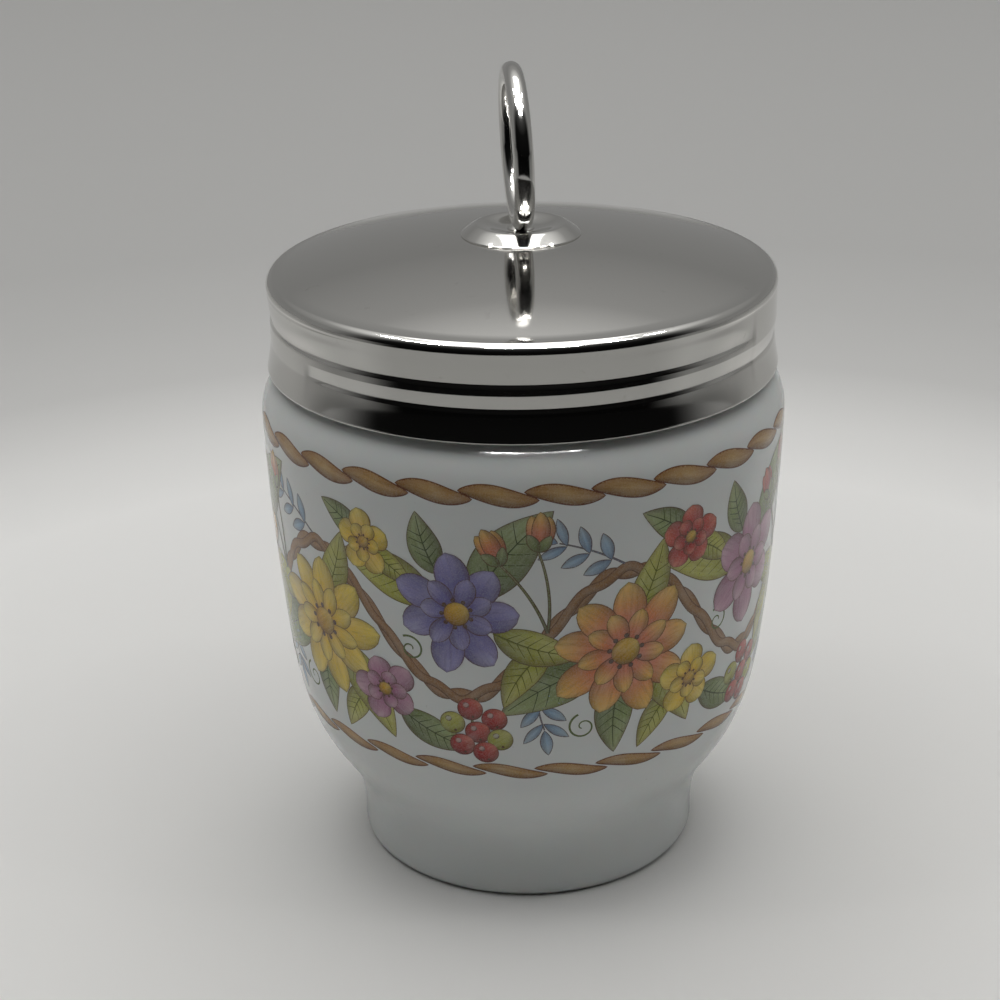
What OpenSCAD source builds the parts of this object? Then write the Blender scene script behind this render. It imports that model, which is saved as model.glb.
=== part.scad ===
// Footed porcelain egg coddler with a pressed metal screw lid and a lifting ring.
// The axis of the cup is Z and the foot stands on z = 0. All sizes are millimetres.

/* [Cup] */
// Outside diameter of the foot ring
foot_d = 49; // [44:0.5:54]
// Height of the foot's upright side
foot_h = 3; // [2:0.5:6]
// Width of the foot ring where it stands
foot_w = 2.5; // [2:0.25:4]
// Rounding of the foot ring's outer edge
foot_round = 1.5; // [0.5:0.25:2]
// Depth of the recess under the base
recess_h = 3.4; // [2:0.2:4]
// Diameter where the bowl has turned up into the wall
knee_d = 67; // [64:0.2:70]
// Height of that place
knee_z = 28; // [24:0.5:34]
// Lean of the wall from upright at that place
knee_lean = 10.4; // [6:0.2:14]
// Largest diameter of the cup
body_d = 73; // [72:0.5:76]
// Height of the largest diameter
body_z = 66.5; // [60:0.5:70]
// Radius of the shoulder above it
shoulder_r = 8; // [6:0.5:10]
// Slope of the shoulder where it meets the neck, from upright
shoulder_lean = 54; // [40:1:65]
// Thickness of the wall
wall = 3.6; // [2.6:0.2:4.4]
// Thickness of the floor over the recess
floor_t = 5; // [4:0.5:7]
// Height of the lip
lip_z = 85.7; // [83:0.1:88]
// Rounding of the lip's edges
lip_round = 1.4; // [0.8:0.1:1.6]

/* [Lid] */
// Diameter of the lid over its rim
lid_d = 70; // [69:0.1:71]
// Thickness of the sheet
sheet = 0.5; // [0.4:0.05:0.6]
// Rise of the dome above the rim's widest circle
dome_h = 6; // [4:0.5:8]
// Radius of the rim between dome and side
rim_r = 1.3; // [1:0.1:2]
// Step from the rim in to the side
rim_step = 0.1; // [0.05:0.05:0.2]
// Height of the side below the rim's widest circle
side_h = 11.7; // [11:0.1:12.5]
// Flare of the side at its bottom edge
flare = 0.45; // [0.2:0.05:0.6]
// Height of the flare
flare_h = 4; // [2:0.1:5]

/* [Screw thread] */
// Pitch of both threads
pitch = 3.15; // [3:0.05:3.6]
// Depth of the groove rolled into the lid's side
groove_h = 0.55; // [0.4:0.05:0.8]
// Height of the groove's sloping upper side and its floor
groove_w = 2.1; // [1.6:0.05:2.4]
// Turns of the rolled groove
groove_turns = 1.32; // [1:0.02:1.5]
// Height of the groove's lower end above the lid's bottom edge
groove_z = 3.6; // [3.2:0.1:4.4]
// Direction of the groove's lower end, anticlockwise from +X
groove_start = -146; // [-180:2:180]
// Height of the moulded thread above the neck
moulded_h = 0.9; // [0.6:0.1:1]
// Width of the moulded thread at its root
moulded_w = 1.7; // [1.4:0.1:2]
// Turns of the moulded thread
moulded_turns = 1.45; // [1:0.05:1.6]
// Height of the flat-sided bed that the moulded thread stands on
bed_h = 0.1; // [0.05:0.05:0.2]

/* [Lifting ring] */
// Outside diameter of the ring
ring_d = 22.6; // [18:0.2:28]
// Diameter of the ring's wire
wire_d = 2.76; // [2:0.02:3.4]
// Turn of the ring's plane from straight ahead
ring_turn = 4.4; // [-90:0.2:90]
// Lean of the ring to one side
ring_lean = 2.4; // [0:0.2:6]
// Diameter of the rosette under the ring
rosette_d = 16.4; // [14:0.2:22]
// Height of the rosette's crest above its edge
rosette_h = 1.5; // [1:0.1:2]
// Diameter of the rosette's crest
crest_d = 12.2; // [9:0.2:13]
// Diameter of the flat in the middle of the rosette
dish_d = 4; // [3:0.2:6]
// Thickness of the rosette's sheet
rosette_t = 0.45; // [0.3:0.05:0.6]
// Diameter of the brazed collar under the ring
collar_d = 3.8; // [3.2:0.1:4.6]
// Diameter of the shank through the lid
shank_d = 2.4; // [1.8:0.1:3]
// Diameter of the backing washer
washer_d = 9; // [7:0.5:12]
// Thickness of the backing washer
washer_t = 0.8; // [0.5:0.1:1.2]
// Diameter of the riveted end
rivet_d = 4.4; // [3.8:0.1:5.4]
// Height of the riveted end
rivet_h = 0.9; // [0.6:0.1:1.4]

/* [Fits] */
// Gap between the closed lid and the lip
seat_gap = 0.2; // [0.1:0.05:0.4]
// Radial gap between the moulded thread and the lid's side
thread_gap = 0.2; // [0.15:0.05:0.4]
// Height of the gap between the flanks of the two threads
flank_gap = 0.3; // [0.2:0.05:0.4]
// Radial gap between the shank and the holes it passes
shank_gap = 0.1; // [0.05:0.05:0.2]
// Gap above and below the backing washer
washer_gap = 0.15; // [0.1:0.05:0.3]

/* [Hidden] */
$fn = 96;

arc_step = 9;                    // degrees between the points of a profile's arc
dome_step = 1.4;                 // the same for the flat dome
curve_steps = 14;                // points along one free curve of a profile
shoulder_steps = 6;              // the same for the short curve of the shoulder
flare_steps = 5;                 // points along the flare of the lid's side
press_steps = 6;                 // points along one bend of the rosette
slope_bend = 1.3;                // power of the rosette's outer slope, 1 for a straight one
turn_steps = 72;                 // rings of points in one turn of a thread
run_out = 34;                    // degrees over which a thread runs out
moulded_waist = 0.6;             // where the moulded thread's side bends, as shares of its size
bite = 0.05;                     // how far a form reaches into the solid it joins or cuts

foot_r = foot_d / 2;
knee_r = knee_d / 2;
body_r = body_d / 2;
lid_r = lid_d / 2;
wire_r = wire_d / 2;
shank_r = shank_d / 2;
collar_r = collar_d / 2;
collar_waist_r = wire_r * 0.85;  // where the braze has run up the wire
hole_r = shank_r + shank_gap;    // holes in the lid, the rosette and the washer
rosette_r = rosette_d / 2;
crest_r = crest_d / 2;
dish_r = dish_d / 2;
ring_r = ring_d / 2 - wire_r;    // radius of the ring's own centre line

// handle lengths of the cup's free curves, as shares of their heights or widths
foot_pull = 0.5;
knee_pull_down = 0.6;
knee_pull_up = 0.25;
body_pull = 0.16;
floor_pull = 0.78;
knee_in_pull = 0.56;
mouth_pull = 0.45;

// the neck stands clear of the lid's side by the taller of the two threads
side_r = lid_r - rim_step;
side_in_r = side_r - sheet;
neck_r = side_in_r - thread_gap - max(moulded_h, groove_h);
bore_r = neck_r - wall;          // radius of the mouth
// the dome is a cap of a sphere that runs into the rim's arc without a crease
rim_cr = lid_r - rim_r;
dome_r = (pow(rim_cr, 2) + pow(dome_h, 2) - pow(rim_r, 2)) / (2 * (dome_h - rim_r));
dome_end = asin(rim_cr / (dome_r - rim_r));
// the lid comes down until its underside is one gap above the lip
seat_r = neck_r - lip_round;
dome_cz = lip_z + seat_gap - sqrt(pow(dome_r - sheet, 2) - pow(seat_r, 2));
crown_z = dome_cz + dome_r;
rim_z = crown_z - dome_h;
side_z = rim_z - side_h;
// the shoulder meets the neck level with the lid's bottom edge
neck_z = side_z;
shoulder_pull = shoulder_r * tan(shoulder_lean / 4) * 4 / 3; // handle length of an arc that turns so far
function dome_z(r, inset = 0) = dome_cz + sqrt(pow(dome_r - inset, 2) - pow(r, 2));

// section of the rolled groove, with heights taken from its sharp lower edge
groove_z0 = side_z + groove_z;
step_top = groove_h / 3;         // top of the sharp lower side
floor_top = groove_w / 6;        // where the sloping side leaves the groove's deepest line
slope = (groove_w - floor_top) / groove_h;
// the same slope on the inside, where the sheet stands over the groove
ridge_lift = sheet / 2;          // how far the inside's slope lies above the outside's
ridge_top = groove_w + ridge_lift;
ridge_floor_top = floor_top + ridge_lift;
ridge_slope = (ridge_top - ridge_floor_top) / (groove_h + sheet / 2);

// the moulded thread's crest lies one gap above the rolled thread's slope
moulded_r = neck_r + moulded_h;
crest_half = moulded_w / 6;      // half the width of the crest
crest_under = ridge_floor_top + ridge_slope * max(0, moulded_r - side_in_r + groove_h);
mate_z = crest_under + flank_gap + crest_half;
// its upper end stays under the lip's rounding
bed_top = lip_z - lip_round - bed_h;
moulded_top = bed_top - moulded_w / 2 - bed_h;
last_turn = (moulded_top - groove_z0 - mate_z) / pitch;
first_turn = last_turn - moulded_turns;

// heights of the rosette: its edge lies on the dome and its middle on the crown
rosette_edge_z = dome_z(rosette_r);
rosette_crest_z = rosette_edge_z + rosette_h;
rosette_mid_z = crown_z + rosette_t;

// the washer's flat top stays clear of the dome, which falls away from the crown
washer_z = dome_z(washer_d / 2, sheet) - washer_gap - washer_t;
rivet_z = washer_z - washer_gap;

// a point on a cubic curve from a to d
function cubic(a, b, c, d, t) =
    pow(1 - t, 3) * a + 3 * pow(1 - t, 2) * t * b + 3 * (1 - t) * t * t * c + pow(t, 3) * d;
function leaning(angle) = [sin(angle), cos(angle)];
// a curve that leaves a leaning by la and reaches d leaning by ld, both from upright
function wall_curve(a, la, pa, d, ld, pd) =
    let (rise = d[1] - a[1],
         b = a + pa * rise * leaning(la),
         c = d - pd * rise * leaning(ld))
    [for (i = [0 : curve_steps]) cubic(a, b, c, d, i / curve_steps)];
// points of an arc about c from angle a0 to a1
function arc(c, r, a0, a1, step = arc_step) =
    let (n = max(2, ceil(abs(a1 - a0) / step)))
    [for (i = [0 : n]) let (a = a0 + (a1 - a0) * i / n) c + r * [cos(a), sin(a)]];
function reversed(p) = [for (i = [len(p) - 1 : -1 : 0]) p[i]];
function eased(x) = let (t = min(1, max(0, x))) t * t * (3 - 2 * t);

// the shoulder from the largest diameter in to the neck
function shoulder() =
    let (a = [body_r, body_z], d = [neck_r, neck_z])
    [for (i = [1 : shoulder_steps])
        cubic(a, a + [0, shoulder_pull], d - shoulder_pull * leaning(-shoulder_lean), d,
              i / shoulder_steps)];

// outer line of the cup from the foot's edge up to the neck
function cup_outer() = concat(
    arc([foot_r - foot_round, foot_round], foot_round, -90, 0),
    wall_curve([foot_r, foot_h], 0, foot_pull, [knee_r, knee_z], knee_lean, knee_pull_down),
    wall_curve([knee_r, knee_z], knee_lean, knee_pull_up, [body_r, body_z], 0, body_pull),
    shoulder());

// inner line of the cup from the middle of the floor up to the mouth
function cup_inner() =
    let (base = recess_h + floor_t,
         knee = [knee_r - wall * cos(knee_lean), knee_z + wall * sin(knee_lean)],
         top = [body_r - wall, body_z - wall / 2],
         mouth = [bore_r, neck_z + wall / 2])
    concat(
        [for (i = [0 : curve_steps])
            cubic([0, base], [knee[0] * floor_pull, base],
                  knee - knee_in_pull * (knee[1] - base) * leaning(knee_lean),
                  knee, i / curve_steps)],
        wall_curve(knee, knee_lean, knee_pull_up, top, 0, body_pull),
        wall_curve(top, 0, mouth_pull, mouth, 0, mouth_pull));

// recess under the base, from the foot ring's inner edge to the axis
function cup_recess() =
    let (foot_in = foot_r - foot_round - foot_w,
         corner = recess_h / 3,
         draft = recess_h / 8)
    concat([[foot_in, 0]],
        arc([foot_in - draft - corner, recess_h - corner], corner, 0, 90),
        [[0, recess_h]]);

module cup_body() {
    lip_out = arc([neck_r - lip_round, lip_z - lip_round], lip_round, 0, 90);
    lip_in = arc([bore_r + lip_round, lip_z - lip_round], lip_round, 90, 180);
    rotate_extrude(convexity = 6)
        polygon(concat(cup_outer(), lip_out, lip_in, reversed(cup_inner()), reversed(cup_recess())));
}

// closed skin over rings of points, each ring going round the same way
module skin(rings) {
    n = len(rings[0]);
    m = len(rings);
    sides = [for (i = [0 : m - 2], j = [0 : n - 1])
        let (a = i * n + j, b = i * n + (j + 1) % n)
        each [[a, b, a + n], [b, b + n, a + n]]];
    ends = [[for (j = [n - 1 : -1 : 0]) j], [for (j = [0 : n - 1]) (m - 1) * n + j]];
    polyhedron(points = [for (r = rings) each r], faces = concat(sides, ends), convexity = 8);
}

// section points [out, up] carried along the screw line; out is measured from radius r,
// and the section changes from gone to full where the thread runs out at its ends
module screw(gone, full, r, z0, start, turns) {
    n = ceil(turns * turn_steps);
    skin([for (i = [0 : n])
        let (t = turns * i / n,
             a = start + 360 * t,
             k = eased(min(t, turns - t) * 360 / run_out))
        [for (j = [0 : len(full) - 1])
            let (p = gone[j] + k * (full[j] - gone[j]))
            [(r + p[0]) * cos(a), (r + p[0]) * sin(a), z0 + pitch * t + p[1]]]]);
}
function moved(section, by) = [for (p = section) p + [by, 0]];

// moulded thread on the neck, soft at its root and crest
module moulded_thread() {
    root = moulded_w / 2;
    waist = [moulded_h, root] * moulded_waist;
    buried = -wall / 4;
    upper = [[moulded_h, crest_half], waist, [0, root], [buried, root]];
    lower = [for (p = reversed(upper)) [p[0], -p[1]]];
    full = concat(lower, upper);
    screw(moved(full, -moulded_h - bite), full, neck_r,
          groove_z0 + mate_z + pitch * first_turn, groove_start + 360 * first_turn,
          moulded_turns);
}

// the bed under it, a little proud of the neck, with one flat for each ring of the thread
module thread_bed() {
    low = neck_z + bed_h;
    bed_r = (neck_r + bed_h) / cos(180 / turn_steps);
    translate([0, 0, low]) linear_extrude(height = bed_top - low)
        difference() {
            polygon([for (i = [1 : turn_steps]) bed_r * leaning(360 * i / turn_steps)]);
            circle(r = neck_r - wall / 2);
        }
}

// the cup: foot, bowl, shoulder and threaded neck, fired as one piece
module porcelain_cup() {
    color("lavender") union() {
        cup_body();
        thread_bed();
        moulded_thread();
    }
}

// the lid's line from the crown to its bottom edge, inset by part of the sheet;
// the side leaves the rim's arc where that arc has come in by the step
function lid_line(inset) =
    let (under = -acos((side_r - rim_cr) / rim_r))
    concat(
        arc([0, dome_cz], dome_r - inset, 90, 90 - dome_end, dome_step),
        arc([rim_cr, rim_z], rim_r - inset, 90 - dome_end - arc_step, under),
        [for (i = [0 : flare_steps]) let (t = i / flare_steps)
            [side_r - inset + flare * t * t, side_z + flare_h + (sheet / 2 - flare_h) * t]]);

module lid_sheet() {
    lip_r = side_r + flare - sheet / 2;
    edge = arc([lip_r, side_z + sheet / 2], sheet / 2, 0, -180);
    rotate_extrude(convexity = 6)
        polygon(concat(lid_line(0), edge, reversed(lid_line(sheet))));
}

// the metal pushed inwards behind the rolled groove
module rolled_ridge() {
    mid = -sheet / 2;
    deep = -groove_h - sheet;
    edge = sheet / 5;            // cut off the ridge's lower corner
    full = [[mid, -sheet], [mid, ridge_top], [deep, ridge_floor_top],
            [deep, step_top], [deep + edge, -edge]];
    flat = [for (p = full) [max(p[0], edge - sheet), p[1]]];
    screw(flat, full, side_r, groove_z0, groove_start, groove_turns);
}

// what the roll takes out of the side
module rolled_groove() {
    clear = sheet;
    full = [[clear, -step_top * clear / groove_h], [clear, groove_w + slope * clear],
            [-groove_h, floor_top], [-groove_h, step_top]];
    screw(moved(full, groove_h + bite), full, side_r, groove_z0, groove_start, groove_turns);
}

// the lid: a domed sheet with its screw thread rolled into the side
module lid_shell() {
    color("silver") difference() {
        union() {
            lid_sheet();
            rolled_ridge();
        }
        rolled_groove();
        translate([0, 0, crown_z - 2 * sheet]) cylinder(r = hole_r, h = 3 * sheet);
    }
}

// upper line of the rosette from the shank's hole over the crest to its edge
function rosette_line() =
    let (low = rosette_edge_z + rosette_t / 2)
    concat(
        [[hole_r, rosette_mid_z]],
        [for (i = [0 : press_steps]) let (t = i / press_steps)
            [dish_r + (crest_r - dish_r) * t,
             rosette_mid_z + (rosette_crest_z - rosette_mid_z) * eased(t)]],
        [for (i = [1 : press_steps]) let (t = i / press_steps)
            [crest_r + (rosette_r - crest_r) * t,
             low + (rosette_crest_z - low) * (1 - pow(t, slope_bend))]]);

// the rosette: a pressed ring-shaped crest around a dished middle
module ring_rosette() {
    upper = rosette_line();
    foot_in = rosette_r - rosette_t;
    lower = [for (p = reversed(upper)) if (p[0] < foot_in)
        [p[0], max(p[1] - rosette_t, dome_z(p[0]))]];
    color("gainsboro") rotate_extrude(convexity = 4)
        polygon(concat(upper, [[rosette_r, rosette_edge_z], [foot_in, dome_z(foot_in)]], lower));
}

// the brazed collar between the ring and the rosette, as a revolved outline
module ring_collar() {
    // the fillet of the braze, a hollow quarter round up to the wire's sides
    fillet = arc([collar_r, wire_r], collar_r - collar_waist_r, -90, -180, 3 * arc_step);
    rotate_extrude() polygon(concat([[0, 0], [collar_r, 0]], fillet, [[0, wire_r * 2]]));
}

// the ring with its collar, its shank and the shank's riveted end
module lifting_ring() {
    color("silver") union() {
        translate([0, 0, rosette_mid_z]) {
            rotate([0, 0, ring_turn]) rotate([0, -ring_lean, 0])
                translate([0, 0, ring_d / 2]) rotate([0, 90, 0])
                    rotate_extrude() translate([ring_r, 0]) circle(r = wire_r);
            ring_collar();
        }
        translate([0, 0, rivet_z - bite])
            cylinder(r = shank_r, h = rosette_mid_z + bite - (rivet_z - bite));
        translate([0, 0, rivet_z]) intersection() {
            sphere(r = rivet_d / 2);
            translate([0, 0, -rivet_h]) cylinder(r = rivet_d, h = rivet_h);
        }
    }
}

// the washer that the riveted end bears on, under the crown
module backing_washer() {
    color("darkgray") translate([0, 0, washer_z]) difference() {
        cylinder(r = washer_d / 2, h = washer_t);
        translate([0, 0, -washer_t]) cylinder(r = hole_r, h = 3 * washer_t);
    }
}

porcelain_cup();
lid_shell();
ring_rosette();
lifting_ring();
backing_washer();
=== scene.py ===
"""Porcelain egg coddler with a screw lid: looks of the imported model, in metres in its frame.

Sizes of the part and the camera's place are in millimetres, materials and the studio in metres.
Angles round the cup are degrees from the front (-Y), positive to the right.
"""
import math

import bpy
import numpy as np
from mathutils import Matrix, Vector


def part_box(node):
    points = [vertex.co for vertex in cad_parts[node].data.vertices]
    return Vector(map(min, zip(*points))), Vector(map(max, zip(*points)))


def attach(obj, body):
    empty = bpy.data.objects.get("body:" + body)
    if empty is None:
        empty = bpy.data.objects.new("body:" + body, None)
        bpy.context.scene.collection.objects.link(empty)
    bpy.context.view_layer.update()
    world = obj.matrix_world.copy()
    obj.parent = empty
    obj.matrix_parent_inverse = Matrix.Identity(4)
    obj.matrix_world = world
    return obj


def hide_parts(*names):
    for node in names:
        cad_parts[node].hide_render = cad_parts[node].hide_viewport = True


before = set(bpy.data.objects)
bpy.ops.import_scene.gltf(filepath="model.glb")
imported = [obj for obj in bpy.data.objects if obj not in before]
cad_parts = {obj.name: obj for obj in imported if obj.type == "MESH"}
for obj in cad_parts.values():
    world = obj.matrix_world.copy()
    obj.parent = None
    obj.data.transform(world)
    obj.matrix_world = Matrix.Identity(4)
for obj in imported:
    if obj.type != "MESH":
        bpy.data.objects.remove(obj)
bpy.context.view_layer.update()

MM = 0.001


# ---- sizes

FOOT_R, FOOT_H, FOOT_ROUND, FOOT_WIDTH = 24.5, 3.0, 1.5, 2.5
RECESS_H, FLOOR_T = 3.4, 5.0
KNEE_R, KNEE_Z, KNEE_LEAN = 33.5, 28.0, 10.4
BODY_R, BODY_Z, SHOULDER_R = 36.45, 66.5, 8.0
WALL = 3.6
AXIS_GAP = 0.05  # radius of the small end face that closes a line at the axis
NECK_R, LIP_Z, LIP_ROUND = 33.3, 85.7, 1.4
NECK_THREAD_H, NECK_THREAD_W = 0.9, 1.9

RIM_R, RIM_Z, RIM_ROUND = 35.0, 84.6, 1.3
DOME_AXIS_GAP = 0.06  # the same for the lid's dome
DOME_H = 6.0
SHEET = 0.5
SIDE_R, SIDE_BOTTOM_Z = 34.93, 72.9

RING_R, WIRE_R = 9.92, 1.38
RING_TURN, RING_LEAN = 4.8, 2.4
RING_DROP = 0.05  # keeps the turned wire's top inside the solid's height
ROSETTE_R, CREST_R, ROSETTE_RISE, ROSETTE_T = 8.2, 6.1, 1.5, 0.45
DISH_R, SLOPE_BEND = 2.0, 1.3
SHANK_R = 1.2


# ---- curves

def arc(cx, cz, radius, start, end, count):
    """Points of an arc about (cx, cz) in the plane of radius and height."""
    a = np.radians(np.linspace(start, end, count))
    return np.c_[cx + radius * np.cos(a), cz + radius * np.sin(a)]


def cubic(a, b, c, d, count):
    """Points of the free curve from a to d that heads for b and comes from c."""
    t = np.linspace(0, 1, count)[:, None]
    return (1 - t) ** 3 * a + 3 * (1 - t) ** 2 * t * b + 3 * (1 - t) * t * t * c + t ** 3 * d


def leaning(angle):
    """The direction that leans outwards from upright by an angle."""
    return np.array([math.sin(math.radians(angle)), math.cos(math.radians(angle))])


def wall_curve(a, lean_a, pull_a, d, lean_d, pull_d, count):
    """A curve from a to d that leaves and arrives leaning from upright by the two angles."""
    a, d = np.array(a, float), np.array(d, float)
    rise = d[1] - a[1]
    return cubic(a, a + pull_a * rise * leaning(lean_a), d - pull_d * rise * leaning(lean_d), d, count)


def smooth(x):
    """An even step from 0 at 0 to 1 at 1, level at both ends."""
    t = np.clip(x, 0, 1)
    return t * t * (3 - 2 * t)


def joined(*runs):
    """The runs of points one after another, without the doubled points where they meet."""
    points = np.vstack(runs)
    step = np.hypot(*np.diff(points, axis=0).T)
    return points[np.r_[True, step > 1e-4]]


# ---- meshes

def new_object(name, data):
    """An object that holds a mesh, a light or a camera."""
    made = bpy.data.objects.new(name, data)
    bpy.context.scene.collection.objects.link(made)
    return made


def make_object(name, points, faces, body, material, normals=None):
    """A smooth piece from points in millimetres, riding on a body of the frame."""
    mesh = bpy.data.meshes.new(name)
    mesh.from_pydata((np.asarray(points) * MM).tolist(), [], faces)
    mesh.polygons.foreach_set("use_smooth", [True] * len(mesh.polygons))
    if normals is not None:
        mesh.normals_split_custom_set_from_vertices(np.asarray(normals).tolist())
    mesh.materials.append(material)
    piece = new_object(name, mesh)
    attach(piece, body)
    return piece


def grid_faces(rows, columns, first=0, wrap=True):
    """Quads over a grid of points; the columns close round if wrap is set."""
    index = first + np.arange(rows * columns).reshape(rows, columns)
    nxt = np.roll(index, -1, axis=1)
    if not wrap:
        index, nxt = index[:, :-1], nxt[:, :-1]
    return np.stack([index[:-1], nxt[:-1], nxt[1:], index[1:]], -1).reshape(-1, 4).tolist()


def spun(line, columns):
    """Radius and height, rows x columns, of a line of (radius, height) that is turned round."""
    return np.repeat(line[:, :1], columns, axis=1), np.repeat(line[:, 1:], columns, axis=1)


def round_points(radius, height):
    """Points at even steps round the axis, from their radius and height in rows x columns."""
    theta = np.arange(radius.shape[1]) * 2 * math.pi / radius.shape[1]
    return np.stack([radius * np.sin(theta), -radius * np.cos(theta), height], -1).reshape(-1, 3)


def capped_faces(rows, columns):
    """Quads over a grid that closes round, with a flat face at its first and last row."""
    last = (rows - 1) * columns
    return grid_faces(rows, columns) + [list(range(columns - 1, -1, -1)),
                                        list(range(last, last + columns))]


def shell(name, radius, height, body, material):
    """A closed shell round the axis, from its radius and height in rows x columns."""
    return make_object(name, round_points(radius, height), capped_faces(*radius.shape), body,
                       material)


# ---- material helpers

MIX_FIRST, MIX_SECOND, MIX_RESULT = 6, 7, 2  # sockets of the mix node that hold colours


class Nodes:
    """A short way to write a node tree; kinds of node are named without their ShaderNode."""

    def __init__(self, tree):
        self.tree = tree
        tree.nodes.clear()

    def add(self, kind, inputs=None, **settings):
        """A new node; an input is linked where its value is a socket and set where it isn't."""
        node = self.tree.nodes.new("ShaderNode" + kind)
        for key, value in settings.items():
            setattr(node, key, value)
        for key, value in (inputs or {}).items():
            if isinstance(value, bpy.types.NodeSocket):
                self.tree.links.new(value, node.inputs[key])
            else:
                node.inputs[key].default_value = value
        return node

    def math(self, operation, a, b):
        return self.add("Math", {0: a, 1: b}, operation=operation).outputs[0]

    def coords(self):
        return self.add("TexCoord").outputs["Object"]

    def attribute(self, name, output="Color"):
        return self.add("Attribute", attribute_name=name).outputs[output]

    def noise(self, coords, scale, detail, roughness=0.55):
        inputs = {"Vector": coords, "Scale": scale, "Detail": detail, "Roughness": roughness}
        return self.add("TexNoise", inputs).outputs["Fac"]

    def spread(self, value, low, high, to_low=0.0, to_high=1.0, smoothed=False):
        """The value, moved from the window low to high over to the window to_low to to_high."""
        inputs = {"Value": value, "From Min": low, "From Max": high, "To Min": to_low, "To Max": to_high}
        kind = "SMOOTHSTEP" if smoothed else "LINEAR"
        return self.add("MapRange", inputs, interpolation_type=kind).outputs["Result"]

    def mix(self, share, a, b):
        """A colour between a and b, each of which is a socket or a constant."""
        colours = {key: value if isinstance(value, bpy.types.NodeSocket) else (*value, 1.0)
                   for key, value in ((MIX_FIRST, a), (MIX_SECOND, b))}
        return self.add("Mix", {0: share, **colours}, data_type="RGBA").outputs[MIX_RESULT]

    def bump(self, height, distance, strength):
        inputs = {"Height": height, "Distance": distance, "Strength": strength}
        return self.add("Bump", inputs).outputs["Normal"]


def new_material(name):
    """A material and the writer of its node tree."""
    material = bpy.data.materials.new(name)
    material.use_nodes = True
    return material, Nodes(material.node_tree)


def finish_material(nodes, **inputs):
    """The shader, with a space for each _ of an input's name, and the material's output."""
    shader = nodes.add("BsdfPrincipled", {k.replace("_", " "): v for k, v in inputs.items()})
    nodes.add("OutputMaterial", {"Surface": shader.outputs[0]})


# ---- materials

# Scales are noise features per metre. A window is (low, high, result at low, result at high).
GLAZE_ROUGHNESS, GLASS_IOR = 0.11, 1.5
WAVE_SCALE, PEEL_SCALE, PEEL_SHARE = 160, 900, 0.22
GLAZE_DEPTH, GLAZE_STRENGTH = 0.00007, 0.9

CLOUD_SCALE, CLOUD_DIM, CLOUD_LIGHT = 45, (0.735, 0.765, 0.755), (0.775, 0.79, 0.775)
SPECK_SCALE, SPECK_WINDOW, SPECK_SHARE, SPECK_COLOUR = 1500, (0.78, 0.82), 0.25, (0.45, 0.44, 0.40)
GLOW_WEIGHT, GLOW_DEPTH = 0.08, 0.0012  # light that enters the porcelain

DOT_SCALE, WASH_SCALE = 5600, 330
STREAK_STRETCH = (2.6, 0.28, 1.0)  # across the blade, along it, and blade by blade
PALE_INK, PALE_SHARE, DEEP_SHARE = (0.74, 0.75, 0.71), 0.45, 0.30
WASH_WINDOW, STREAK_WINDOW = (0.40, 0.72, 0.0, 0.42), (0.46, 0.68, 0.0, 0.80)
DOT_WINDOW = (0.44, 0.66, 0.0, 0.34)
RAGGED_WINDOW = (0.3, 0.7, -0.07, 0.07)  # how far grain moves an outline, in mm
OUTLINE_WINDOW, OUTLINE_SHARE = (0.05, 0.20, 1.0, 0.0), 0.80
EDGE_WINDOW = (0.15, 0.95, 0.26, 0.0)  # the soft shade inside an outline

CHROME, CHROME_DULL, DULL_SHARE = (0.665, 0.655, 0.63), (0.50, 0.485, 0.46), 0.5
RUB_SCALE, RUB_WINDOW, RUB_GAIN = 70, (0.3, 0.75), 1.9
SPOT_SCALE, SPOT_WINDOW, SPOT_ROUGHNESS = 520, (0.70, 0.80), 0.10
HAIR_DEPTH, HAIR_STRENGTH = 0.000002, 0.5

STEEL_SCALE, STEEL_DARK, STEEL_LIGHT = 300, (0.40, 0.39, 0.38), (0.52, 0.51, 0.50)
STEEL_WINDOW = (0.2, 0.8, 0.28, 0.45)
PIT_SCALE, PIT_DEPTH, PIT_STRENGTH = 2500, 0.00001, 0.4


def glaze_bump(nodes, coords):
    """The slow waviness and fine orange peel of a fired glaze."""
    slow = nodes.noise(coords, WAVE_SCALE, 2)
    fine = nodes.noise(coords, PEEL_SCALE, 2)
    height = nodes.math("ADD", slow, nodes.math("MULTIPLY", fine, PEEL_SHARE))
    return nodes.bump(height, GLAZE_DEPTH, GLAZE_STRENGTH)


def porcelain_material():
    """Cool white porcelain with faint clouds and a few specks under its glaze."""
    material, n = new_material("porcelain_glaze")
    coords = n.coords()
    colour = n.mix(n.noise(coords, CLOUD_SCALE, 3), CLOUD_DIM, CLOUD_LIGHT)
    speck = n.spread(n.noise(coords, SPECK_SCALE, 1), *SPECK_WINDOW)
    colour = n.mix(n.math("MULTIPLY", speck, SPECK_SHARE), colour, SPECK_COLOUR)
    finish_material(n, Base_Color=colour, Roughness=GLAZE_ROUGHNESS, IOR=GLASS_IOR,
                    Subsurface_Weight=GLOW_WEIGHT, Subsurface_Scale=GLOW_DEPTH,
                    Normal=glaze_bump(n, coords))
    return material


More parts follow.
